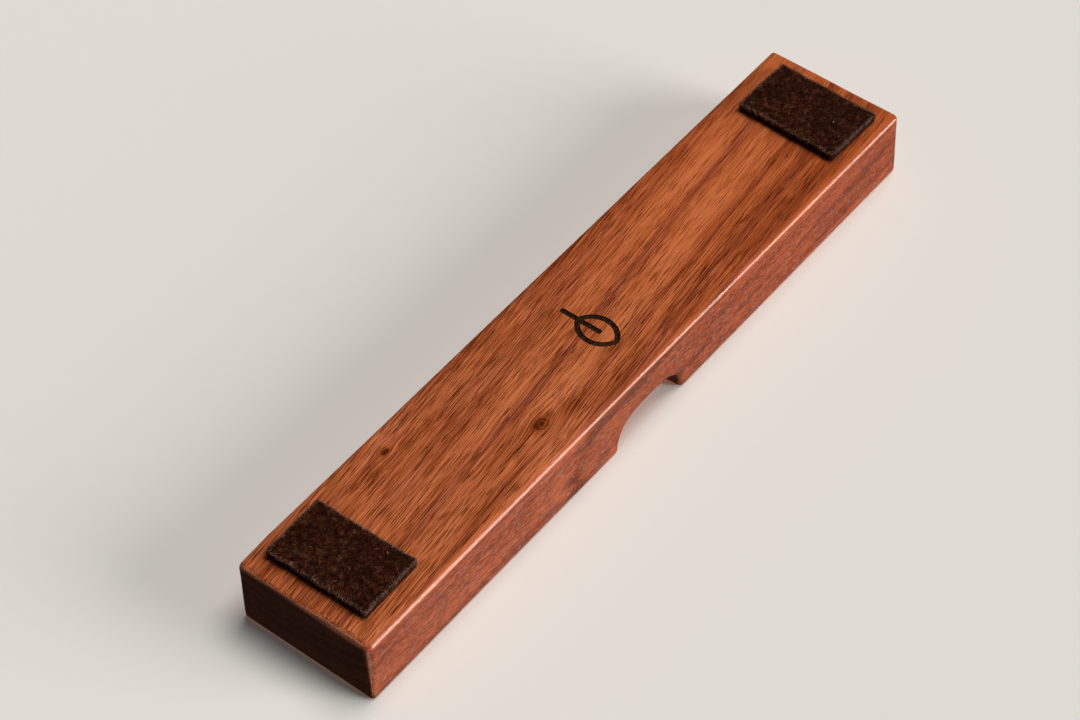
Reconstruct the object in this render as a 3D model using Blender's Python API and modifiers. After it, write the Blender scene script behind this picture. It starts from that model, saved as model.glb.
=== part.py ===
"""Solid walnut wrist rest for a compact keyboard, standing on two felt pads.

+X runs along the bar, +Y points at the keyboard and +Z points up out of the palm face.
The origin is on the surface that the pads rest on, under the middle of the bar.
"""

import math

import bmesh
import bpy
from mathutils import Matrix, Vector

# Driving dimensions, in metres.
BAR_LENGTH = 0.290
BAR_WIDTH = 0.055
BAR_THICKNESS = 0.028
BAR_EDGE_RADIUS = 0.0014
BAR_EDGE_STEPS = 3

# Thumb notch in the keyboard edge of the palm face. Its wall is |x/a|^p + |y/b|^p + |z/c|^p = 1,
# with a, b and c the three sizes below. A power of 2 would make it an ellipsoid.
NOTCH_X = -0.0009
NOTCH_HALF_LENGTH = 0.0168
NOTCH_REACH = 0.0140
NOTCH_DEPTH = 0.0128
NOTCH_POWER = 3.0
NOTCH_COLUMNS = 56
NOTCH_ROWS = 36

# Felt pads, each stuck on with a thin adhesive film that is cut a little smaller.
PAD_SIZE_X = 0.0254
PAD_SIZE_Y = 0.0410
PAD_EDGE_RADIUS = 0.0006
FELT_THICKNESS = 0.0026
FILM_THICKNESS = 0.0002
FILM_INSET = 0.0006
FACE_GAP = 0.0003
# Where each pad was stuck by hand: x, y and its turn about +Z in degrees.
PAD_PLACES = {"left": (-0.1238, -0.0012, -0.9), "right": (0.1252, 0.0016, 1.7)}

# Leaf burnt into the underside: an outline of even stroke, with a rib that runs out as its stem.
MARK_CENTRE = Vector((0.0010, 0.0008, 0.0))
LEAF_LENGTH = 0.0185
LEAF_WIDTH = 0.0130
MARK_STROKE = 0.0020
STEM_LENGTH = 0.0175
MARK_HALF_SPAN = 0.0125
LEAF_DEPTH = 0.0005
STEM_DEPTH = 0.00055
ARC_STEPS = 20
CAP_STEPS = 8

FELT_BOTTOM = 0.0
FILM_BOTTOM = FELT_BOTTOM + FELT_THICKNESS + FACE_GAP
BAR_BOTTOM = FILM_BOTTOM + FILM_THICKNESS + FACE_GAP
BAR_TOP = BAR_BOTTOM + BAR_THICKNESS


def clear_scene():
    for old in list(bpy.data.objects):
        bpy.data.objects.remove(old, do_unlink=True)


def new_collection(name):
    collection = bpy.data.collections.new(name)
    bpy.context.scene.collection.children.link(collection)
    return collection


def material(name, colour, roughness):
    made = bpy.data.materials.new(name)
    made.use_nodes = True
    shader = made.node_tree.nodes["Principled BSDF"]
    shader.inputs["Base Color"].default_value = (*colour, 1.0)
    shader.inputs["Roughness"].default_value = roughness
    shader.inputs["Metallic"].default_value = 0.0
    return made


def mesh_object(name, mesh, collection, look=None):
    made = bpy.data.objects.new(name, mesh)
    collection.objects.link(made)
    if look:
        mesh.materials.append(look)
    return made


def block(name, size, centre, collection, look):
    """A box of the given size, with its own origin at its centre."""
    shape = bmesh.new()
    bmesh.ops.create_cube(shape, size=1.0, matrix=Matrix.Diagonal((*size, 1.0)))
    mesh = bpy.data.meshes.new(name)
    shape.to_mesh(mesh)
    shape.free()
    made = mesh_object(name, mesh, collection, look)
    made.location = centre
    return made


def round_edges(made, radius, steps):
    bevel = made.modifiers.new("round_edges", "BEVEL")
    bevel.width = radius
    bevel.segments = steps
    bevel.limit_method = "ANGLE"


def cut(made, cutter):
    boolean = made.modifiers.new(f"cut_{cutter.name}", "BOOLEAN")
    boolean.operation = "DIFFERENCE"
    boolean.solver = "EXACT"
    boolean.object = cutter


def as_cutter(made):
    made.hide_render = True
    made.display_type = "WIRE"
    return made


def notch_cutter(collection):
    """A sphere pushed out to the notch's wall, centred where the palm face meets the keyboard side."""
    sizes = Vector((NOTCH_HALF_LENGTH, NOTCH_REACH, NOTCH_DEPTH))
    shape = bmesh.new()
    bmesh.ops.create_uvsphere(shape, u_segments=NOTCH_COLUMNS, v_segments=NOTCH_ROWS, radius=1.0)
    for vertex in shape.verts:
        total = sum(abs(part / size) ** NOTCH_POWER for part, size in zip(vertex.co, sizes))
        vertex.co *= total ** (-1.0 / NOTCH_POWER)
    mesh = bpy.data.meshes.new("notch_cutter")
    shape.to_mesh(mesh)
    shape.free()
    made = mesh_object("notch_cutter", mesh, collection)
    made.location = (NOTCH_X, BAR_WIDTH / 2, BAR_TOP)
    return as_cutter(made)


def arc(centre, radius, start, end, steps):
    """Points along an arc, with both ends in the list."""
    angles = [start + (end - start) * step / steps for step in range(steps + 1)]
    return [centre + radius * Vector((math.cos(angle), math.sin(angle))) for angle in angles]


def leaf_outlines():
    """The outer and inner edge of a leaf of even stroke, each one a pair of arcs from tip to tip."""
    half_length, half_width = LEAF_LENGTH / 2, LEAF_WIDTH / 2
    middle = Vector((0.0, MARK_HALF_SPAN - half_length))
    radius = (half_length**2 + half_width**2) / (2 * half_width)
    offset = radius - half_width
    outlines = []
    for edge_radius in (radius, radius - MARK_STROKE):
        reach = math.acos(offset / edge_radius)
        right = arc(middle - Vector((offset, 0.0)), edge_radius, -reach, reach, ARC_STEPS)
        left = arc(middle + Vector((offset, 0.0)), edge_radius, math.pi - reach, math.pi + reach, ARC_STEPS)
        outlines.append(right[:-1] + left[:-1])
    return outlines


def stem_outline():
    """A straight stroke with round ends, up the middle of the leaf."""
    radius = MARK_STROKE / 2
    low = Vector((0.0, radius - MARK_HALF_SPAN))
    high = low + Vector((0.0, STEM_LENGTH - MARK_STROKE))
    return arc(high, radius, 0.0, math.pi, CAP_STEPS) + arc(low, radius, math.pi, 2 * math.pi, CAP_STEPS)


def stroke_cutter(name, outlines, depth, collection):
    """A prism over flat outlines, which reaches as far outside the underside as it cuts into it."""
    curve = bpy.data.curves.new(name, "CURVE")
    curve.dimensions = "2D"
    curve.fill_mode = "BOTH"
    curve.extrude = depth
    for outline in outlines:
        spline = curve.splines.new("POLY")
        spline.points.add(len(outline) - 1)
        for point, place in zip(spline.points, outline):
            point.co = (place.x, place.y, 0.0, 1.0)
        spline.use_cyclic_u = True
    drawn = bpy.data.objects.new(name + "_curve", curve)
    collection.objects.link(drawn)
    drawn.location = MARK_CENTRE + Vector((0.0, 0.0, BAR_BOTTOM))
    bpy.context.view_layer.update()
    evaluated = drawn.evaluated_get(bpy.context.evaluated_depsgraph_get())
    mesh = bpy.data.meshes.new_from_object(evaluated)
    shape = bmesh.new()
    shape.from_mesh(mesh)
    bmesh.ops.remove_doubles(shape, verts=shape.verts, dist=1e-6)
    bmesh.ops.recalc_face_normals(shape, faces=shape.faces)
    shape.to_mesh(mesh)
    shape.free()
    made = mesh_object(name, mesh, collection)
    made.matrix_world = drawn.matrix_world
    bpy.data.objects.remove(drawn, do_unlink=True)
    return as_cutter(made)


def build_bar(parts, cutters):
    walnut = material("oiled_walnut", (0.27, 0.085, 0.032), 0.42)
    size = (BAR_LENGTH, BAR_WIDTH, BAR_THICKNESS)
    bar = block("walnut_bar", size, (0.0, 0.0, (BAR_BOTTOM + BAR_TOP) / 2), parts, walnut)
    round_edges(bar, BAR_EDGE_RADIUS, BAR_EDGE_STEPS)
    cut(bar, notch_cutter(cutters))
    cut(bar, stroke_cutter("leaf_cutter", leaf_outlines(), LEAF_DEPTH, cutters))
    cut(bar, stroke_cutter("stem_cutter", [stem_outline()], STEM_DEPTH, cutters))


def build_pad(side, place, parts, felt, film):
    """One felt pad and the film above it, both turned about the pad's own middle."""
    x, y, turn = place
    mount = bpy.data.objects.new(f"pad_place_{side}", None)
    parts.objects.link(mount)
    mount.location = (x, y, 0.0)
    mount.rotation_euler = (0.0, 0.0, math.radians(turn))

    pad_size = (PAD_SIZE_X, PAD_SIZE_Y, FELT_THICKNESS)
    pad = block(f"felt_pad_{side}", pad_size, (0.0, 0.0, FELT_BOTTOM + FELT_THICKNESS / 2), parts, felt)
    round_edges(pad, PAD_EDGE_RADIUS, 2)
    pad.parent = mount

    film_size = (PAD_SIZE_X - 2 * FILM_INSET, PAD_SIZE_Y - 2 * FILM_INSET, FILM_THICKNESS)
    centre = (0.0, 0.0, FILM_BOTTOM + FILM_THICKNESS / 2)
    block(f"adhesive_film_{side}", film_size, centre, parts, film).parent = mount


def build():
    clear_scene()
    parts = new_collection("wrist_rest")
    cutters = new_collection("cutters")
    build_bar(parts, cutters)
    felt = material("brown_felt", (0.030, 0.016, 0.011), 0.95)
    film = material("adhesive_film", (0.35, 0.30, 0.24), 0.35)
    for side, place in PAD_PLACES.items():
        build_pad(side, place, parts, felt, film)
    bpy.context.view_layer.update()


build()
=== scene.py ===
"""Looks of the walnut wrist rest: oiled walnut, a burnt leaf mark, and two hand-cut felt pads.

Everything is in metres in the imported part's frame: +X along the bar, +Y towards the keyboard, +Z up out of
the palm face, with the pads resting on z = 0. The picture shows the bar turned over, so its camera looks up
at the underside from below. Materials count in millimetres.
"""

import math
import random

import bmesh
import bpy
import numpy as np
from mathutils import Matrix, Vector, noise

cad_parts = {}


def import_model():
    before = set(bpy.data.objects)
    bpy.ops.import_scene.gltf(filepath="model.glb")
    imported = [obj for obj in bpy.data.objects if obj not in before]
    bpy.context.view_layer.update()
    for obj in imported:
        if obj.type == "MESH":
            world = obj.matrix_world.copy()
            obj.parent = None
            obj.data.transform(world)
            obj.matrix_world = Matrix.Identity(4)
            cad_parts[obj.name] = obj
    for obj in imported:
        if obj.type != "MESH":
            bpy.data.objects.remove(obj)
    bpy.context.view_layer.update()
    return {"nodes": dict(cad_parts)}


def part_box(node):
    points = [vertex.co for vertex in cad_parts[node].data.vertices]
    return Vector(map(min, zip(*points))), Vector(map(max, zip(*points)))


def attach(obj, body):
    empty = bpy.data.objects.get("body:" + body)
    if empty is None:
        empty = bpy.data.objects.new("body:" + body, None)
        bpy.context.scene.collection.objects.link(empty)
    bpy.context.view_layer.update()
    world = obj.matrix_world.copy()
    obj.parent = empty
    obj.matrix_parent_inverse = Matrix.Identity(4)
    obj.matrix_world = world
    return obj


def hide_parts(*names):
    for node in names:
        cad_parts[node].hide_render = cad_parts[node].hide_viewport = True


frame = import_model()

MM = 0.001

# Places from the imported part.
BAR_LOW, BAR_HIGH = (Vector(corner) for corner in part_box("walnut_bar"))
BAR_CENTRE = (BAR_LOW + BAR_HIGH) / 2
BAR_BOTTOM = BAR_LOW.z
BAR_TOP = BAR_HIGH.z

# Camera: the point it looks at, and where it stands as seen from there. Angles are in degrees, the roll is
# about its own axis, and the lens and the sensor are in millimetres.
CAMERA_TARGET = Vector((-0.0207, -0.0032, BAR_BOTTOM))
CAMERA_AZIMUTH = 229.23
CAMERA_ELEVATION = -49.59
CAMERA_ROLL = 177.08
CAMERA_DISTANCE = 1.05
CAMERA_LENS = 105.26
CAMERA_SENSOR = 36.0
CAMERA_CLIP = 0.05

# Studio: the paper's colour, glow and size, and the colours of the lamps.
PAPER = (0.80, 0.79, 0.77)
PAPER_GLOW = 0.05
PAPER_SIZE = 15.0
WARM = (1.0, 0.965, 0.92)
GLEAM = (1.0, 0.90, 0.76)
AMBER = (1.0, 0.64, 0.44)
# The world: its plain light, what gloss mirrors outside and inside a bright band, and the band itself, as
# heights of a direction with the band's share of the light there.
AMBIENT = 0.035
MIRRORED_DIM = 0.012
MIRRORED_BRIGHT = 0.40
MIRRORED_BAND = ((0.0, 0.0), (0.10, 1.0), (0.30, 1.0), (0.48, 0.0))
# Lamps: name, the direction it shines from, strength, softness in degrees, colour, and the rays that see it.
# The first six light the underside in the picture, and the last two the bar as it stands in use.
SUNS = (
    ("window_below", (0.36, 0.88, -0.30), 2.7, 32.0, WARM, "diffuse"),
    ("edge_gleam", (0.46, 0.88, 0.13), 2.9, 40.0, GLEAM, "glossy"),
    ("end_gleam", (-0.72, -0.42, -0.54), 0.30, 24.0, AMBER, "glossy"),
    ("corner_gleam", (-0.42, 0.49, 0.76), 0.30, 24.0, AMBER, "glossy"),
    ("ceiling_below", (0.30, 0.10, -0.95), 1.92, 34.0, WARM, "diffuse"),
    ("side_sheen", (0.49, 0.42, 0.76), 0.04, 60.0, WARM, "glossy"),
    ("window_above", (0.27, -0.83, 0.49), 2.1, 30.0, WARM, "diffuse"),
    ("ceiling_above", (0.25, 0.12, 0.96), 1.9, 28.0, WARM, "diffuse"),
)

# Surfaces found by moving a voxel mesh's points: how often, and the shift that a slope is measured over.
BAR_VOXEL = 0.75 * MM
BAR_STEPS = 6
BAR_RELAXINGS = 3
BAR_STEPS_AFTER_EACH = 3
FELT_VOXEL = 0.4 * MM
FELT_STEPS = 5
SLOPE_SHIFT = 0.02 * MM
LEAST_SLOPE = 0.5

# The bar's edges: their radius, and their waves as share of the radius, millimetres a radian and phase.
EDGE_RADIUS = 1.4 * MM
EDGE_WAVES = ((0.05, 17.0, 0.0), (0.02, 6.3, 1.0))
# How much rounder wear has left them, as a share of the radius: everywhere, on the keyboard side's lower
# edge, how much more at that edge's -X end, and at the lower -X corner on the other side.
WORN = -0.05
WORN_EDGE = 0.35
WORN_EDGE_MORE = 0.8
WORN_CORNER = 0.8
SHARP_ANGLE = 55.0

# The thumb notch, which repeats the CAD model's superellipsoid, and how round its rim is at its foot and at
# its mouth in the palm face.
NOTCH_CENTRE = Vector((-0.9 * MM, BAR_HIGH.y, BAR_TOP))
NOTCH_SIZES = (16.8 * MM, 14.0 * MM, 12.8 * MM)
NOTCH_POWER = 3.0
NOTCH_COLUMNS = 48
NOTCH_ROWS = 32
NOTCH_LEAST_REACH = 0.05
NOTCH_RIM_RADIUS = 0.9 * MM
NOTCH_MOUTH_RADIUS = 2.4 * MM

# The leaf burnt into the underside, with the CAD model's outline and finer arcs.
MARK_CENTRE = Vector((1.0 * MM, 0.8 * MM, BAR_BOTTOM))
LEAF_LENGTH = 18.5 * MM
LEAF_WIDTH = 13.0 * MM
MARK_STROKE = 2.0 * MM
STEM_LENGTH = 17.5 * MM
MARK_HALF_SPAN = 12.5 * MM
LEAF_DEPTH = 0.45 * MM
STEM_DEPTH = LEAF_DEPTH * 1.1
LEAF_STEPS = 28
CAP_STEPS = 12
WELD = 1e-6

# Felt pads: their turn as they were stuck on, as in the CAD model, and a seed for each one's tufts.
PAD_TURNS = {"left": (-0.9, 11), "right": (1.7, 23)}
FELT_SIZE = (25.4 * MM, 41.0 * MM)
FELT_TOUCH = 0.03 * MM
FELT_EDGE = 0.85 * MM
# Waves of the cut edge in millimetres, along y and along x. The first one's phase is half the pad's width.
CUT_WAVES_Y = ((0.12, 3.1), (0.08, 1.3))
CUT_WAVE_X = (0.10, 2.3, 1.0)
# Tufts and slow swells: how many to a millimetre, and their height in millimetres.
TUFTS = (0.9, 0.11)
TUFT_FRACTAL = (0.8, 2.0, 4)
SWELLS = (0.16, 0.10)
# The hollow for the film: its depth, how far in from the edge it starts, the width of its slope, and how
# close to the back a point has to be.
HOLLOW_DEPTH = 0.55 * MM
HOLLOW_INSET = 0.15 * MM
HOLLOW_SLOPE = 0.3 * MM
HOLLOW_BAND = 0.25 * MM

# Loose fibres: piece, material, count, length, radius, lift, and the least and most z of the normals of the
# faces that they grow on.
FIBRES = (
    ("felt_fibres", "felt_threads", 4458, 1.5 * MM, 0.030 * MM, 0.16 * MM, (-2.0, 0.5)),
    ("lint", "pale_lint", 8, 0.60 * MM, 0.15 * MM, 0.14 * MM, (-2.0, 0.5)),
    ("felt_rim", "felt_edging", 772, 1.4 * MM, 0.050 * MM, 0.55 * MM, (-0.95, -0.3)),
)
FIBRE_STEPS = 4
FIBRE_SIDES = 3
# How far below the pad a fibre may hang, what its length, lift and bend are multiplied by, how deep its ends
# are sunk as a share of its lift, and how thin they are as a share of its radius.
FIBRE_DROOP = 0.2 * MM
LENGTH_SPREAD = (0.5, 1.4)
LIFT_SPREAD = (0.3, 1.6)
BEND_SPREAD = (-0.5, 0.5)
FIBRE_SINK = 0.3
FIBRE_TIP = 0.35
# The part of half a sine wave that a fibre's thickness follows: its start and length.
FIBRE_TAPER = (0.15, 0.7)
# The darkest and the palest fibre of each material.
FIBRE_TONES = {
    "felt_threads": ((0.016, 0.006, 0.003), (0.085, 0.036, 0.022)),
    "felt_edging": ((0.040, 0.015, 0.009), (0.380, 0.200, 0.145)),
    "pale_lint": ((0.20, 0.09, 0.04), (0.42, 0.26, 0.20)),
}

# The felt's and the film's colours. A noise is the sizes of its lumps, its detail and its roughness.
FELT_NOISES = {
    "clumps": ((2.1, 2.1, 2.1), 3.0, 0.6),
    "tufts": ((0.55, 0.55, 0.55), 3.0, 0.65),
    "worn": ((11.0, 11.0, 11.0), 2.0, 0.5),
}
FELT_SWINGS = {"clumps": 1.7, "tufts": 1.8, "worn": 0.6}
FELT_BASE = 0.49
FELT_RELIEF = 0.30 * MM
FELT_TONES = (
    (0.10, (0.0060, 0.0010, 0.0003)),
    (0.42, (0.0180, 0.0028, 0.0007)),
    (0.62, (0.0440, 0.0085, 0.0022)),
    (0.95, (0.1500, 0.0600, 0.0330)),
)
FILM_WRINKLES = ((3.0, 3.0, 3.0), 3.0, 0.5)
FILM_RELIEF = 0.05 * MM
FILM_TONES = ((0.3, (0.30, 0.25, 0.19)), (0.7, (0.42, 0.37, 0.30)))


# ---------------------------------------------------------------- helpers


def new_object(name, mesh, *materials):
    for material in materials:
        mesh.materials.append(material)
    made = bpy.data.objects.new(name, mesh)
    bpy.context.scene.collection.objects.link(made)
    return made


def mesh_from(shape, name):
    mesh = bpy.data.meshes.new(name)
    shape.to_mesh(mesh)
    shape.free()
    return mesh


def evaluated_mesh(made):
    """A new mesh of the object with its modifiers applied."""
    bpy.context.view_layer.update()
    evaluated = made.evaluated_get(bpy.context.evaluated_depsgraph_get())
    return bpy.data.meshes.new_from_object(evaluated)


def apply_modifiers(made):
    mesh = evaluated_mesh(made)
    made.modifiers.clear()
    made.data = mesh
    return mesh


def box_object(name, size, centre, material):
    """A box, which apply_remesh turns into a fine mesh."""
    shape = bmesh.new()
    bmesh.ops.create_cube(shape, size=1.0, matrix=Matrix.Diagonal((*size, 1.0)))
    bmesh.ops.translate(shape, verts=shape.verts, vec=centre)
    return new_object(name, mesh_from(shape, name), material)


def apply_remesh(made, voxel):
    remesh = made.modifiers.new("remesh", "REMESH")
    remesh.mode = "VOXEL"
    remesh.voxel_size = voxel
    return apply_modifiers(made)


def vertices(mesh):
    points = np.empty(len(mesh.vertices) * 3)
    mesh.vertices.foreach_get("co", points)
    return points.reshape(-1, 3)


def move_vertices(mesh, points):
    mesh.vertices.foreach_set("co", points.ravel())
    mesh.update()


def ramped(values, start, end):
    """A straight step from 0 to 1 as the values go from start to end."""
    return np.clip((values - start) / (end - start), 0.0, 1.0)


def wave(values, height, length, phase=0.0):
    return height * np.sin(values / length + phase)


class Graph:
    """One material, with short calls for its nodes."""

    def __init__(self, name):
        self.material = bpy.data.materials.new(name)
        self.material.use_nodes = True
        self.tree = self.material.node_tree
        self.shader = self.tree.nodes["Principled BSDF"]

    def feed(self, socket, value):
        if isinstance(value, bpy.types.NodeSocket):
            self.tree.links.new(value, socket)
        else:
            socket.default_value = value

    def add(self, kind, inputs, **settings):
        node = self.tree.nodes.new(kind)
        for name, value in settings.items():
            setattr(node, name, value)
        for name, value in inputs.items():
            self.feed(node.inputs[name], value)
        return node

    def math(self, operation, *values):
        return self.add("ShaderNodeMath", dict(enumerate(values)), operation=operation).outputs[0]

    def times(self, first, second):
        return self.math("MULTIPLY", first, second)

    def sum(self, *values):
        total = values[0]
        for value in values[1:]:
            total = self.math("ADD", total, value)
        return total

    def vector(self, operation, *values, scale=None):
        inputs = dict(enumerate(values))
        if scale is not None:
            inputs["Scale"] = scale
        node = self.add("ShaderNodeVectorMath", inputs, operation=operation)
        return node.outputs["Value" if operation in ("LENGTH", "DOT_PRODUCT") else "Vector"]

    def millimetres(self):
        place = self.add("ShaderNodeTexCoord", {}).outputs["Object"]
        return self.vector("SCALE", place, scale=1 / MM)

    def split(self, vector):
        return self.add("ShaderNodeSeparateXYZ", {"Vector": vector}).outputs

    def join(self, x, y, z):
        return self.add("ShaderNodeCombineXYZ", {"X": x, "Y": y, "Z": z}).outputs[0]

    def noise(self, place, sizes, detail, roughness):
        """Noise from 0 to 1, whose lumps have about the given sizes in millimetres."""
        scaled = self.vector("MULTIPLY", place, tuple(1 / size for size in sizes))
        inputs = {"Vector": scaled, "Scale": 1.0, "Detail": detail, "Roughness": roughness}
        return self.add("ShaderNodeTexNoise", inputs).outputs[0]

    def about(self, value, amount):
        """A value from 0 to 1 turned into one that swings by the given amount about 0."""
        return self.times(self.math("SUBTRACT", value, 0.5), amount)

    def swing(self, place, sizes, detail, roughness, amount):
        """Noise that swings by the given amount about 0."""
        return self.about(self.noise(place, sizes, detail, roughness), amount)

    def step(self, value, start, end, low=0.0, high=1.0):
        """A smooth step from low to high as the value goes from start to end."""
        inputs = {"Value": value, "From Min": start, "From Max": end, "To Min": low, "To Max": high}
        return self.add("ShaderNodeMapRange", inputs, interpolation_type="SMOOTHSTEP").outputs[0]

    def bell(self, distance, height=1.0, sharpness=1.0):
        """A bell curve of the given height, from a distance counted in its widths."""
        squared = self.times(distance, distance)
        return self.times(self.math("EXPONENT", self.times(squared, -sharpness)), height)

    def ramp(self, value, stops, interpolation="LINEAR"):
        node = self.add("ShaderNodeValToRGB", {"Fac": value})
        node.color_ramp.interpolation = interpolation
        set_stops(node.color_ramp, stops)
        return node.outputs["Color"]

    def mix(self, factor, first, second):
        node = self.add("ShaderNodeMix", {}, data_type="RGBA")
        for index, value in ((0, factor), (6, first), (7, second)):
            self.feed(node.inputs[index], value)
        return node.outputs[2]

    def tint(self, factor, colour, scales):
        """The colour, multiplied channel by channel where the factor is 1."""
        return self.mix(factor, colour, self.vector("MULTIPLY", colour, scales))

    def bump(self, height, distance, strength=1.0):
        inputs = {"Height": height, "Distance": distance, "Strength": strength}
        return self.add("ShaderNodeBump", inputs).outputs[0]

    def set(self, **values):
        """Sets the shader's inputs, named with _ for a space."""
        for name, value in values.items():
            self.feed(self.shader.inputs[name.replace("_", " ")], value)


def set_stops(colour_ramp, stops):
    points = colour_ramp.elements
    while len(points) < len(stops):
        points.new(1.0)
    for point, (position, colour) in zip(points, stops):
        point.position = position
        point.color = (*colour, 1.0)


# ---------------------------------------------------------------- walnut

# The tree's growth, in millimetres. The pith runs outside the bar, beyond its underside, and slants across
# it.
PITH_Y = -22.0
PITH_Z = -64.6
PITH_SLANT = -0.10
# Millimetres of arc around the pith to a radian.
ARC_SCALE = 80.0
# Growth rings: distance from the pith, and how much paler the wood is there than between the rings.
RINGS = (
    (66.0, 0.00), (67.7, 0.10), (68.4, -0.45), (69.1, 0.15), (69.9, 0.45), (70.6, 0.10), (71.4, -1.00),
    (72.3, 0.20), (73.6, 0.50), (75.2, 0.35), (76.4, 0.00), (77.3, -0.65), (78.2, 0.05), (79.3, 0.15),
    (80.4, -0.30), (82.0, -0.90), (83.4, -0.35), (84.8, 0.00), (86.8, -0.80), (88.4, -0.35), (89.6, 0.10),
    (92.0, 0.20), (94.5, -0.40), (96.5, 0.15), (99.0, 0.10), (101.5, -0.80), (103.5, 0.00), (105.5, 0.15),
    (108.8, -0.60), (111.0, 0.10), (114.0, 0.00),
)
# The distances that the ramp of rings covers: its start and length.
RING_START = 60.0
RING_SPAN = 60.0
# Small knots: a point on the branch, its direction, the widths of its bell, how far it lifts the rings, and
# the radius of its core, which is drawn longer along the grain by KNOT_STRETCH.
KNOTS = (
    ((-41.8, 14.4, 3.4), (0.04, 0.47, 0.88), (9.0, 5.0, 5.0), 3.4, 1.50),
    ((-81.7, -19.0, 3.4), (0.05, 0.02, 1.0), (4.0, 2.8, 2.8), 0.8, 0.80),
)
KNOT_STRETCH = 1.5
# The dark outline of a core, and how far the knots push the fibres aside.
OUTLINE_SHARPNESS = 16.0
OUTLINE_DEPTH = 0.80
ASIDE = -0.75
# Paler and darker wood, and a painted shade: centre, the widths of its bell, and how much paler it is.
PATCHES_AND_PAINTED_SHADE = (
    ((-73.5, -23.5, 3.4), (8.0, 3.0, 5.0), 0.34),
    ((-81.7, -19.0, 3.4), (1.5, 0.6, 3.0), -0.75),
    ((-25.0, 10.5, 3.4), (12.0, 3.5, 6.0), 0.18),
    ((-48.0, 23.5, 3.4), (11.0, 2.5, 6.0), 0.20),
    ((-42.0, 0.5, 3.4), (20.0, 2.2, 8.0), 0.20),
    ((-28.0, 18.0, 3.4), (8.0, 2.0, 6.0), -0.20),
    ((-53.0, 12.5, 3.4), (9.0, 2.0, 6.0), -0.20),
    ((45.0, 2.0, 3.4), (40.0, 3.6, 8.0), 0.16),
    ((30.0, 7.5, 3.4), (26.0, 2.2, 8.0), 0.14),
    ((75.0, -14.5, 3.4), (40.0, 4.5, 8.0), 0.20),
    ((20.0, -25.5, 3.4), (45.0, 2.4, 8.0), -0.18),
    ((95.0, 22.0, 3.4), (40.0, 5.0, 8.0), -0.12),
    ((-137.0, 0.0, 3.4), (6.0, 30.0, 8.0), -0.10),
    ((-52.0, 27.5, 15.0), (8.0, 3.0, 8.0), 0.16),
    ((-6.0, 27.5, 9.0), (20.0, 3.0, 4.0), -0.14),
    # Painted shade on the underside beside the -X pad, on its +Y side.
    ((-122.0, 22.5, 3.4), (14.0, 3.0, 5.0), -0.12),
    ((-28.0, 27.5, 9.5), (8.0, 3.0, 4.0), -0.20),
    ((-33.5, 27.5, 11.0), (2.6, 2.5, 4.0), -0.24),
    ((-36.5, 27.5, 16.0), (3.4, 2.5, 2.6), -0.28),
    ((-41.5, 27.5, 21.0), (2.8, 2.5, 3.6), -0.26),
)
# Pores: spacing along and across the grain, a shift that keeps the layers apart, and darkness.
PORES = (
    (22.0, 0.40, 0.0, 1.0),
    (14.0, 0.38, 37.0, 1.0),
    (9.0, 0.38, 71.0, 0.9),
)
# Noises: the sizes of the lumps, detail, roughness, and for most of them how far they swing about 0.
NOISES = {
    "ragged": ((1.6, 1.0, 1.0), 2.0, 0.5, 1.0),
    "sway": ((110.0, 24.0, 24.0), 1.0, 0.5, 1.2),
    "ripple": ((38.0, 8.0, 8.0), 2.0, 0.5, 0.9),
    "patches": ((46.0, 10.0, 10.0), 2.0, 0.5, 0.36),
    "bands": ((120.0, 9.0, 1.2), 2.0, 0.5, 0.34),
    "streaks": ((60.0, 0.7, 0.7), 2.0, 0.6, 0.24),
    "hairlines": ((26.0, 0.25, 0.25), 1.0, 0.5, 1.95),
    "grit": ((9.0, 0.30, 0.30), 2.0, 0.6, 1.25),
    # Where the keyboard side's painted glints fall.
    "flecks": ((2.6, 0.32, 0.32), 1.0, 0.5),
    "polish": ((9.0, 4.0, 4.0), 3.0, 0.5, 0.14),
    "char": ((1.6, 0.25, 0.5), 3.0, 0.65),
    "soot": ((2.0, 2.0, 2.0), 2.0, 0.5, 0.2),
}
# Smooth steps: start, end, and the values there if they aren't 0 and 1. Those of the knots are counted in
# the core's radius, those of places in millimetres, and the rest in their noise or in the rings' paleness.
STEPS = {
    "knot_core": (0.62, 0.10, 0.0, 0.9),
    "knot_shade": (3.4, 0.8, 0.0, 0.17),
    "knot_calm": (2.2, 1.1),
    "fainter_at_end": (90.0, 10.0, 0.55, 1.0),
    "fainter_on_side": (26.8, 25.8, 0.9, 1.0),
    "rubbed_in_y": (24.8, 26.2),
    "rubbed_in_z": (8.0, 5.8),
    "pore_darkness": (0.05, 0.65),
    "pore_edge": (0.31, 0.23),
    "end_grain": (143.6, 144.6),
    "dull_end": (143.6, 144.6, 0.0, 0.56),
    "side": (26.2, 27.2),
    # How strong the keyboard side's painted glints are.
    "flecks": (0.61, 0.70, 0.0, 0.55),
    "purple": (0.0, -0.9),
    "redder": (-40.0, 70.0),
}
CALMING = 0.85
# What each of these adds to the tone, which runs from 0, darkest, to 1.
TONE_BASE = 0.72
TONE_OF = {"rings": 0.25, "shade": -1.0, "pores": -1.10, "core": -0.45, "end_grain": -0.10}
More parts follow.
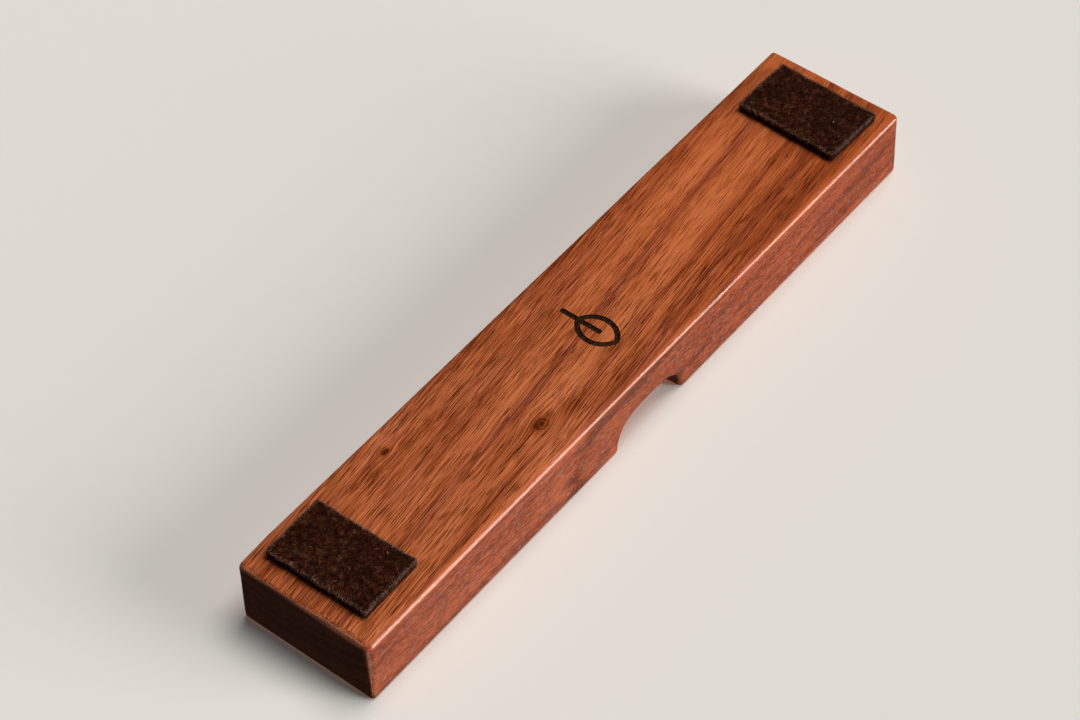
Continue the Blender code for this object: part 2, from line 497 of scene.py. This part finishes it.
# What each of these adds to the height of the surface, as a share of RELIEF.
HEIGHT_OF = {"pores": -0.3, "fibres": 0.18, "core": -0.8}
RELIEF = 0.05 * MM
CHAR_RELIEF = 0.15 * MM
ROUGHNESS = 0.31
PORE_ROUGHNESS = 0.25
CHAR_ROUGHNESS = 0.85
PURPLE_TINT = (0.98, 1.02, 1.45)
REDDER_TINT = (1.0, 0.91, 0.80)
# Painted shade on the keyboard side, whose colour alone is darker in green and blue.
SIDE_PAINTED_SHADE = (0.98, 0.77, 0.74)
# Painted glints on the keyboard side.
PAINTED_GLINT_COLOUR = (0.80, 0.48, 0.38, 1.0)
WALNUT_TONES = (
    (0.00, (0.080, 0.014, 0.002)),
    (0.18, (0.160, 0.029, 0.004)),
    (0.36, (0.250, 0.050, 0.010)),
    (0.54, (0.355, 0.080, 0.021)),
    (0.74, (0.490, 0.125, 0.040)),
    (1.00, (0.680, 0.205, 0.080)),
)
CHAR_TONES = (
    (0.00, (0.0070, 0.0030, 0.0015)),
    (0.50, (0.0170, 0.0080, 0.0040)),
    (0.66, (0.0800, 0.0400, 0.0200)),
)


def knots(g, place):
    """How far the knots lift the rings and push the fibres aside, their dark cores, their shade, and where
    they calm the grain."""
    lift = aside = core = shade = calm = 0.0
    ragged = g.swing(place, *NOISES["ragged"])
    for centre, direction, widths, height, radius in KNOTS:
        branch = tuple(Vector(direction).normalized())
        offset = g.vector("SUBTRACT", place, centre)
        along = g.vector("SCALE", branch, scale=g.vector("DOT_PRODUCT", offset, branch))
        radial = g.vector("SUBTRACT", offset, along)
        bell = g.bell(g.vector("LENGTH", g.vector("DIVIDE", radial, widths)))
        lift = g.sum(lift, g.times(bell, height))
        aside = g.sum(aside, g.times(bell, g.split(radial)["Y"]))
        sizes = (radius * KNOT_STRETCH, radius, radius)
        near = g.sum(g.vector("LENGTH", g.vector("DIVIDE", radial, sizes)), ragged)
        outline = g.bell(g.math("SUBTRACT", near, 1.0), OUTLINE_DEPTH, OUTLINE_SHARPNESS)
        middle = g.step(near, *STEPS["knot_core"])
        core = g.math("MAXIMUM", core, g.math("MAXIMUM", outline, middle))
        shade = g.sum(shade, g.step(near, *STEPS["knot_shade"]))
        calm = g.math("MAXIMUM", calm, g.step(near, *STEPS["knot_calm"]))
    return lift, aside, core, shade, calm


def pores_in(g, grain):
    """Short dark needles along the grain, each with its own strength."""
    pores = 0.0
    for length, width, seed, darkness in PORES:
        shifted = g.vector("ADD", grain, (seed, seed, seed))
        scaled = g.vector("MULTIPLY", shifted, (1 / length, 1 / width, 1 / width))
        cells = g.add("ShaderNodeTexVoronoi", {"Vector": scaled, "Scale": 1.0}, feature="F1").outputs
        own = g.step(g.split(cells["Color"])["X"], *STEPS["pore_darkness"], 0.0, darkness)
        needles = g.step(cells["Distance"], *STEPS["pore_edge"])
        pores = g.math("MAXIMUM", pores, g.times(needles, own))
    return pores


def walnut():
    g = Graph("oiled_walnut")
    place = g.millimetres()
    x, y, z = g.split(place)
    lift, aside, core, shade, calm = knots(g, place)

    # Ring distance and arc around the pith, both wavering along the grain.
    from_y = g.sum(y, -PITH_Y, g.times(x, -PITH_SLANT), g.times(aside, ASIDE))
    from_z = g.sum(z, -PITH_Z)
    radius = g.vector("LENGTH", g.join(0.0, from_y, from_z))
    depth = g.sum(radius, g.swing(place, *NOISES["sway"]), g.swing(place, *NOISES["ripple"]))
    ring = g.math("SUBTRACT", depth, lift)
    arc = g.times(g.math("ARCTAN2", from_y, from_z), ARC_SCALE)
    grain = g.join(x, arc, depth)

    stops = [((distance - RING_START) / RING_SPAN, (0.5 + level / 2,) * 3) for distance, level in RINGS]
    span = g.math("DIVIDE", g.sum(ring, -RING_START), RING_SPAN)
    rings = g.about(g.ramp(span, stops, "EASE"), 2.0)

    patches = g.swing(place, *NOISES["patches"])
    bands = g.swing(g.join(x, arc, ring), *NOISES["bands"])
    streaks = g.swing(grain, *NOISES["streaks"])
    # Patches of paler and darker wood, and the painted shade beside the -X pad.
    pale = 0.0
    for centre, widths, amount in PATCHES_AND_PAINTED_SHADE:
        reach = g.vector("LENGTH", g.vector("DIVIDE", g.vector("SUBTRACT", place, centre), widths))
        pale = g.sum(pale, g.bell(reach, amount))

    # Hairlines and pores show less towards the +X end and on the keyboard side, and least of all around the
    # knots and on the rubbed edge.
    shown = g.times(g.step(x, *STEPS["fainter_at_end"]), g.step(y, *STEPS["fainter_on_side"]))
    rubbed = g.times(g.step(y, *STEPS["rubbed_in_y"]), g.step(z, *STEPS["rubbed_in_z"]))
    calm = g.math("MAXIMUM", calm, rubbed)
    shown = g.times(shown, g.math("SUBTRACT", 1.0, g.times(calm, CALMING)))
    fibres = g.times(g.swing(grain, *NOISES["hairlines"]), shown)
    pores = g.times(pores_in(g, grain), shown)

    # End grain drinks the oil and looks darker, and the +X end is dull as well. The keyboard side is
    # grittier, with painted glints: pale flecks in its colour where its pores would catch the light.
    end_grain = g.step(g.math("ABSOLUTE", x), *STEPS["end_grain"])
    side = g.step(y, *STEPS["side"])
    grit = g.sum(g.swing(place, *NOISES["grit"]), patches)
    parts = {"rings": rings, "shade": shade, "pores": pores, "core": core, "end_grain": end_grain}
    tone = g.sum(TONE_BASE, patches, bands, streaks, fibres, pale, g.times(side, grit))
    tone = g.sum(tone, *(g.times(part, TONE_OF[name]) for name, part in parts.items()))

    colour = g.ramp(tone, WALNUT_TONES)
    colour = g.tint(g.step(rings, *STEPS["purple"]), colour, PURPLE_TINT)
    colour = g.tint(g.step(x, *STEPS["redder"]), colour, REDDER_TINT)
    # Painted shade: the keyboard side alone is darker in green and blue, against the sheen that falls on it.
    colour = g.tint(side, colour, SIDE_PAINTED_SHADE)
    # Painted glints: pale flecks where the keyboard side's pores would catch the light.
    flecks = g.step(g.noise(place, *NOISES["flecks"]), *STEPS["flecks"])
    colour = g.mix(g.times(side, flecks), colour, PAINTED_GLINT_COLOUR)

    polish = g.swing(place, *NOISES["polish"])
    dull = g.step(x, *STEPS["dull_end"])
    roughness = g.sum(ROUGHNESS, dull, g.times(pores, PORE_ROUGHNESS), polish)
    parts = {"pores": pores, "fibres": fibres, "core": core}
    height = g.sum(*(g.times(part, HEIGHT_OF[name]) for name, part in parts.items()))
    g.set(Base_Color=colour, Roughness=roughness, Metallic=0.0, Specular_IOR_Level=0.75)
    g.set(Normal=g.bump(height, RELIEF))
    return g.material


def charred_walnut():
    g = Graph("charred_walnut")
    place = g.millimetres()
    flecks = g.noise(place, *NOISES["char"])
    roughness = g.sum(CHAR_ROUGHNESS, g.swing(place, *NOISES["soot"]))
    g.set(Base_Color=g.ramp(flecks, CHAR_TONES), Roughness=roughness, Metallic=0.0, Specular_IOR_Level=0.15)
    g.set(Normal=g.bump(flecks, CHAR_RELIEF, strength=0.9))
    return g.material


# ---------------------------------------------------------------- bar


def smooth_blend(first, second, radius):
    """Where two solids' insides meet: both fields are below 0 there, and the edge has the given radius."""
    inner = np.minimum(-radius, np.maximum(first, second))
    return inner + np.hypot(np.maximum(radius + first, 0.0), np.maximum(radius + second, 0.0))


def rounded_block(points, centre, half, radius):
    radius = np.broadcast_to(radius, len(points))
    outside = np.abs(points - centre) - (half - radius[:, None])
    inside = np.minimum(outside.max(axis=1), 0.0)
    return np.linalg.norm(np.maximum(outside, 0.0), axis=1) + inside - radius


def edge_radii(points):
    """The radius that the bar's edges have near each point."""
    x, y, z = (points / MM).T
    middle = BAR_CENTRE.z / MM
    lower = ramped(z, middle + 8.0, middle - 8.0)
    edge = ramped(y, -8.0, 8.0) * (WORN_EDGE + WORN_EDGE_MORE * ramped(x, 0.0, -145.0))
    corner = WORN_CORNER * ramped(x, -130.0, -142.0) * ramped(y, -12.0, -24.0)
    waves = sum(wave(x, *settings) for settings in EDGE_WAVES)
    return EDGE_RADIUS * (1.0 + waves + WORN + lower * (edge + corner))


def bar_field(points):
    """About the distance of each point from the bar's surface, negative inside."""
    half = np.array(BAR_HIGH - BAR_LOW) / 2
    block = rounded_block(points, np.array(BAR_CENTRE), half, edge_radii(points))

    sizes = np.array(NOTCH_SIZES)
    offset = np.abs(points - np.array(NOTCH_CENTRE)) / sizes
    reach = (offset**NOTCH_POWER).sum(axis=1) ** (1 / NOTCH_POWER)
    reach = np.maximum(reach, NOTCH_LEAST_REACH)
    slope = offset ** (NOTCH_POWER - 1) / sizes / reach[:, None] ** (NOTCH_POWER - 1)
    notch = (reach - 1.0) / np.linalg.norm(slope, axis=1)
    towards_palm = ramped(points[:, 2], BAR_TOP - NOTCH_SIZES[2], BAR_TOP)
    rim = NOTCH_RIM_RADIUS + (NOTCH_MOUTH_RADIUS - NOTCH_RIM_RADIUS) * towards_palm**2
    return smooth_blend(block, -notch, rim)


def onto_surface(points, field, steps):
    """Points moved down the field's slope until they lie on its surface, and the surface's normals there."""
    for _ in range(steps):
        level = field(points)
        slope = np.empty_like(points)
        for axis in range(3):
            shifted = points.copy()
            shifted[:, axis] += SLOPE_SHIFT
            slope[:, axis] = (field(shifted) - level) / SLOPE_SHIFT
        size = np.maximum(np.linalg.norm(slope, axis=1, keepdims=True), LEAST_SLOPE)
        points = points - slope / size**2 * level[:, None]
    return points, slope / size


def relaxed(points, edges):
    """Each point moved halfway to the middle of its neighbours."""
    total = np.zeros_like(points)
    count = np.zeros(len(points))
    for first, second in ((0, 1), (1, 0)):
        np.add.at(total, edges[:, first], points[edges[:, second]])
        np.add.at(count, edges[:, first], 1)
    return (points + total / np.maximum(count, 1)[:, None]) / 2


def notch_cutter():
    shape = bmesh.new()
    bmesh.ops.create_uvsphere(shape, u_segments=NOTCH_COLUMNS, v_segments=NOTCH_ROWS, radius=1.0)
    for vertex in shape.verts:
        total = sum(abs(part / size) ** NOTCH_POWER for part, size in zip(vertex.co, NOTCH_SIZES))
        vertex.co *= total ** (-1.0 / NOTCH_POWER)
    made = new_object("notch_cutter", mesh_from(shape, "notch_cutter"))
    made.location = NOTCH_CENTRE
    return made


def arc(centre, radius, start, end, steps):
    """Points along an arc, with both ends in the list."""
    angles = [start + (end - start) * step / steps for step in range(steps + 1)]
    return [centre + radius * Vector((math.cos(angle), math.sin(angle))) for angle in angles]


def leaf_outlines():
    """The outer and inner edge of the leaf, each a pair of arcs from tip to tip."""
    half_length, half_width = LEAF_LENGTH / 2, LEAF_WIDTH / 2
    middle = Vector((0.0, MARK_HALF_SPAN - half_length))
    radius = (half_length**2 + half_width**2) / (2 * half_width)
    offset = radius - half_width
    aside = Vector((offset, 0.0))
    outlines = []
    for edge_radius in (radius, radius - MARK_STROKE):
        reach = math.acos(offset / edge_radius)
        right = arc(middle - aside, edge_radius, -reach, reach, LEAF_STEPS)
        left = arc(middle + aside, edge_radius, math.pi - reach, math.pi + reach, LEAF_STEPS)
        outlines.append(right[:-1] + left[:-1])
    return outlines


def stem_outline():
    """A straight stroke with round ends, up the middle of the leaf."""
    radius = MARK_STROKE / 2
    low = Vector((0.0, radius - MARK_HALF_SPAN))
    high = low + Vector((0.0, STEM_LENGTH - MARK_STROKE))
    return arc(high, radius, 0.0, math.pi, CAP_STEPS) + arc(low, radius, math.pi, 2 * math.pi, CAP_STEPS)


def stroke_cutter(name, outlines, depth, material):
    """A prism over flat outlines, which reaches as far outside the underside as it cuts into it."""
    curve = bpy.data.curves.new(name, "CURVE")
    curve.dimensions = "2D"
    curve.fill_mode = "BOTH"
    curve.extrude = depth
    for outline in outlines:
        spline = curve.splines.new("POLY")
        spline.points.add(len(outline) - 1)
        for point, place in zip(spline.points, outline):
            point.co = (place.x, place.y, 0.0, 1.0)
        spline.use_cyclic_u = True
    drawn = bpy.data.objects.new(name, curve)
    bpy.context.scene.collection.objects.link(drawn)
    mesh = evaluated_mesh(drawn)
    bpy.data.objects.remove(drawn, do_unlink=True)
    shape = bmesh.new()
    shape.from_mesh(mesh)
    bmesh.ops.remove_doubles(shape, verts=shape.verts, dist=WELD)
    bmesh.ops.recalc_face_normals(shape, faces=shape.faces)
    made = new_object(name, mesh_from(shape, name), material)
    made.location = MARK_CENTRE
    return made


def cut(made, cutter):
    modifier = made.modifiers.new("cut", "BOOLEAN")
    modifier.operation = "DIFFERENCE"
    modifier.solver = "EXACT"
    modifier.material_mode = "TRANSFER"
    modifier.object = cutter
    apply_modifiers(made)
    bpy.data.objects.remove(cutter, do_unlink=True)


def build_bar():
    bar = box_object("bar", BAR_HIGH - BAR_LOW, BAR_CENTRE, walnut())
    cut(bar, notch_cutter())
    mesh = apply_remesh(bar, BAR_VOXEL)
    edges = np.empty(len(mesh.edges) * 2, dtype=np.int64)
    mesh.edges.foreach_get("vertices", edges)
    edges = edges.reshape(-1, 2)
    points, _ = onto_surface(vertices(mesh), bar_field, BAR_STEPS)
    for _ in range(BAR_RELAXINGS):
        points, _ = onto_surface(relaxed(points, edges), bar_field, BAR_STEPS_AFTER_EACH)
    move_vertices(mesh, points)
    char = charred_walnut()
    cut(bar, stroke_cutter("leaf_cutter", leaf_outlines(), LEAF_DEPTH, char))
    cut(bar, stroke_cutter("stem_cutter", [stem_outline()], STEM_DEPTH, char))
    bar.data.shade_smooth()
    bar.data.set_sharp_from_angle(angle=math.radians(SHARP_ANGLE))
    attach(bar, "root")
    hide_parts("walnut_bar")


# ---------------------------------------------------------------- felt


def felt_material():
    g = Graph("brown_felt")
    place = g.millimetres()
    noises = {name: g.noise(place, *settings) for name, settings in FELT_NOISES.items()}
    swings = (g.about(noises[name], amount) for name, amount in FELT_SWINGS.items())
    colour = g.ramp(g.sum(FELT_BASE, *swings), FELT_TONES)
    g.set(Base_Color=colour, Roughness=0.95, Metallic=0.0, Specular_IOR_Level=0.1)
    g.set(Sheen_Weight=0.04, Sheen_Roughness=0.5, Sheen_Tint=(0.60, 0.32, 0.22, 1.0))
    g.set(Normal=g.bump(g.sum(noises["clumps"], noises["tufts"]), FELT_RELIEF, strength=0.9))
    return g.material


def fibre_material(name, dark, light):
    """Loose fibres, each with its own shade between the two colours."""
    g = Graph(name)
    own = g.tree.nodes.new("ShaderNodeNewGeometry").outputs["Random Per Island"]
    g.set(Base_Color=g.mix(own, (*dark, 1.0), (*light, 1.0)), Roughness=0.8, Specular_IOR_Level=0.2)
    return g.material


def film_material(name):
    g = Graph(name)
    wrinkles = g.noise(g.millimetres(), *FILM_WRINKLES)
    g.set(Base_Color=g.ramp(wrinkles, FILM_TONES), Roughness=0.35, Normal=g.bump(wrinkles, FILM_RELIEF))
    return g.material


def felt_field(points, half):
    """A block with soft edges about the origin, whose outline wavers as it was cut by hand."""
    x, y = points[:, 0] / MM, points[:, 1] / MM
    first, second = CUT_WAVES_Y
    cut_line = wave(y, *first, half[1] / MM) + wave(y, *second) + wave(x, *CUT_WAVE_X)
    outline = half + np.array([[1.0, 1.0, 0.0]]) * (cut_line * MM)[:, None]
    return rounded_block(points, 0.0, outline, FELT_EDGE)


def fluffed(points, normals, seed):
    """The felt's surface raised and sunk in small tufts."""
    moved = points.copy()
    shift = Vector((seed, seed, seed))
    for index, (point, normal) in enumerate(zip(points, normals)):
        place = Vector(point) / MM
        rise = noise.fractal(place * TUFTS[0] + shift, *TUFT_FRACTAL) * TUFTS[1]
        rise += noise.noise(place * SWELLS[0] + shift) * SWELLS[1]
        moved[index] += normal * rise * MM
    return moved


def hollowed(points, half):
    """The back cut flat and hollowed for the film, so that only its rim reaches the wood."""
    flat = np.minimum(points[:, 2], half[2])
    inset = np.minimum(half[0] - np.abs(points[:, 0]), half[1] - np.abs(points[:, 1]))
    hollow = np.clip((inset - HOLLOW_INSET) / HOLLOW_SLOPE, 0.0, 1.0) * HOLLOW_DEPTH
    points[:, 2] = np.where(flat > half[2] - HOLLOW_BAND, flat - hollow, flat)
    return points


def fibres_on(mesh, count, length, radius, lift, slopes, chance):
    """Bent tapering threads, each rooted on a face whose normal's z lies between the two slopes."""
    lowest = min(vertex.co.z for vertex in mesh.vertices) - FIBRE_DROOP
    corners, faces = [], []
    rooted = [face for face in mesh.polygons if slopes[0] < face.normal.z < slopes[1]]
    for _ in range(count):
        face = chance.choice(rooted)
        normal = Vector(face.normal)
        along = normal.orthogonal()
        along.rotate(Matrix.Rotation(chance.uniform(0.0, 2 * math.pi), 3, normal))
        across = normal.cross(along)
        reach = length * chance.uniform(*LENGTH_SPREAD)
        rise = lift * chance.uniform(*LIFT_SPREAD)
        bend = chance.uniform(*BEND_SPREAD)
        start = Vector(face.center) - along * reach / 2
        first = len(corners)
        for step in range(FIBRE_STEPS + 1):
            part = step / FIBRE_STEPS
            height = rise * math.sin(math.pi * part) - FIBRE_SINK * lift
            middle = start + along * (reach * part) + across * (reach * bend * part * part) + normal * height
            swell = math.sin(math.pi * (FIBRE_TAPER[0] + FIBRE_TAPER[1] * part))
            thick = radius * (FIBRE_TIP + (1.0 - FIBRE_TIP) * swell)
            for turn in range(FIBRE_SIDES):
                angle = 2 * math.pi * turn / FIBRE_SIDES
                corner = middle + (across * math.cos(angle) + normal * math.sin(angle)) * thick
                corner.z = max(corner.z, lowest)
                corners.append(corner)
        last = first + FIBRE_STEPS * FIBRE_SIDES
        for low in range(first, last, FIBRE_SIDES):
            for turn in range(FIBRE_SIDES):
                here, beside = low + turn, low + (turn + 1) % FIBRE_SIDES
                faces.append((here, beside, beside + FIBRE_SIDES, here + FIBRE_SIDES))
        faces.append(tuple(reversed(range(first, first + FIBRE_SIDES))))
        faces.append(tuple(range(last, last + FIBRE_SIDES)))
    made = bpy.data.meshes.new("fibres")
    made.from_pydata(corners, [], faces)
    made.update()
    return made


def build_felt(side, turn, seed, felt, looks):
    low, high = (Vector(corner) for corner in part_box(f"felt_pad_{side}"))
    centre = (low + high) / 2
    size = Vector((*FELT_SIZE, BAR_BOTTOM - FELT_TOUCH))
    half = np.array(size) / 2
    pad = box_object(f"felt_{side}", size, (0.0, 0.0, 0.0), felt)
    mesh = apply_remesh(pad, FELT_VOXEL)
    points, normals = onto_surface(vertices(mesh), lambda spots: felt_field(spots, half), FELT_STEPS)
    move_vertices(mesh, hollowed(fluffed(points, normals, seed), half))
    mesh.shade_smooth()
    pad.location = (centre.x, centre.y, size.z / 2)
    pad.rotation_euler = (0.0, 0.0, math.radians(turn))
    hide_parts(f"felt_pad_{side}")

    chance = random.Random(seed)
    for name, look, *settings in FIBRES:
        piece = new_object(f"{name}_{side}", fibres_on(mesh, *settings, chance), looks[look])
        piece.data.shade_smooth()
        piece.parent = pad
    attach(pad, "root")


def build_pads():
    felt = felt_material()
    looks = {name: fibre_material(name, *tones) for name, tones in FIBRE_TONES.items()}
    for side, (turn, seed) in PAD_TURNS.items():
        build_felt(side, turn, seed, felt, looks)
        film = film_material(f"adhesive_film_{side}")
        for slot in frame["nodes"][f"adhesive_film_{side}"].material_slots:
            slot.material = film


# ---------------------------------------------------------------- stage


def camera():
    azimuth, elevation = math.radians(CAMERA_AZIMUTH), math.radians(CAMERA_ELEVATION)
    back = Vector((
        math.sin(azimuth) * math.cos(elevation),
        -math.cos(azimuth) * math.cos(elevation),
        math.sin(elevation),
    ))
    data = bpy.data.cameras.new("camera")
    data.lens = CAMERA_LENS
    data.sensor_width = CAMERA_SENSOR
    data.clip_start = CAMERA_CLIP
    made = bpy.data.objects.new("camera", data)
    bpy.context.scene.collection.objects.link(made)
    look = back.to_track_quat("Z", "Y").to_matrix().to_4x4()
    roll = Matrix.Rotation(math.radians(CAMERA_ROLL), 4, "Z")
    made.matrix_world = Matrix.Translation(CAMERA_TARGET + back * CAMERA_DISTANCE) @ look @ roll
    bpy.context.scene.camera = made


def one_sided_paper(name):
    """A matte surface that shows only from its front, with a little light of its own."""
    g = Graph(name)
    nodes, links = g.tree.nodes, g.tree.links
    g.set(Base_Color=(*PAPER, 1.0), Roughness=1.0, Specular_IOR_Level=0.0)
    g.set(Emission_Color=(*PAPER, 1.0), Emission_Strength=PAPER_GLOW)
    clear = nodes.new("ShaderNodeBsdfTransparent")
    behind = nodes.new("ShaderNodeNewGeometry").outputs["Backfacing"]
    pick = nodes.new("ShaderNodeMixShader")
    links.new(behind, pick.inputs[0])
    links.new(g.shader.outputs[0], pick.inputs[1])
    links.new(clear.outputs[0], pick.inputs[2])
    links.new(pick.outputs[0], nodes["Material Output"].inputs["Surface"])
    return g.material


def stage_plane(name, height, faces_up):
    shape = bmesh.new()
    bmesh.ops.create_grid(shape, x_segments=1, y_segments=1, size=PAPER_SIZE)
    if not faces_up:
        bmesh.ops.reverse_faces(shape, faces=shape.faces)
    made = new_object(name, mesh_from(shape, name), one_sided_paper(f"pale_{name}"))
    made.location = (0.0, 0.0, height)
    for kind in ("diffuse", "glossy", "transmission", "volume_scatter", "shadow"):
        setattr(made, "visible_" + kind, False)


def sun(name, towards, strength, softness, colour, seen_by):
    """A far lamp that shines from the given direction, and that only one kind of ray sees."""
    data = bpy.data.lights.new(name, "SUN")
    data.energy = strength
    data.angle = math.radians(softness)
    data.color = colour
    made = bpy.data.objects.new(name, data)
    bpy.context.scene.collection.objects.link(made)
    made.matrix_world = Vector(towards).to_track_quat("Z", "Y").to_matrix().to_4x4()
    made.visible_glossy = seen_by == "glossy"
    made.visible_diffuse = seen_by == "diffuse"


def world():
    """Pale where the camera sees it, dim as light, with a bright band near the horizon for reflections."""
    made = bpy.data.worlds.new("studio")
    bpy.context.scene.world = made
    made.use_nodes = True
    nodes, links = made.node_tree.nodes, made.node_tree.links

    def background(colour, strength):
        node = nodes.new("ShaderNodeBackground")
        node.inputs["Color"].default_value = (*colour, 1.0)
        node.inputs["Strength"].default_value = strength
        return node.outputs[0]

    def mixed(factor, first, second):
        node = nodes.new("ShaderNodeMixShader")
        for socket, source in zip(node.inputs, (factor, first, second)):
            links.new(source, socket)
        return node.outputs[0]

    rays = nodes.new("ShaderNodeLightPath").outputs
    upward = nodes.new("ShaderNodeSeparateXYZ")
    links.new(nodes.new("ShaderNodeTexCoord").outputs["Generated"], upward.inputs[0])
    band = nodes.new("ShaderNodeValToRGB")
    links.new(upward.outputs["Z"], band.inputs[0])
    set_stops(band.color_ramp, [(height, (share,) * 3) for height, share in MIRRORED_BAND])
    mirrored = mixed(band.outputs["Color"], background(WARM, MIRRORED_DIM), background(WARM, MIRRORED_BRIGHT))
    light = mixed(rays["Is Glossy Ray"], background(WARM, AMBIENT), mirrored)
    seen = mixed(rays["Is Camera Ray"], light, background(PAPER, 1.0))
    links.new(seen, nodes["World Output"].inputs["Surface"])


def stage():
    camera()
    world()
    stage_plane("floor", 0.0, faces_up=True)
    stage_plane("backdrop", BAR_TOP, faces_up=False)
    for settings in SUNS:
        sun(*settings)
    bpy.context.scene.view_settings.view_transform = "Standard"


stage()
build_bar()
build_pads()
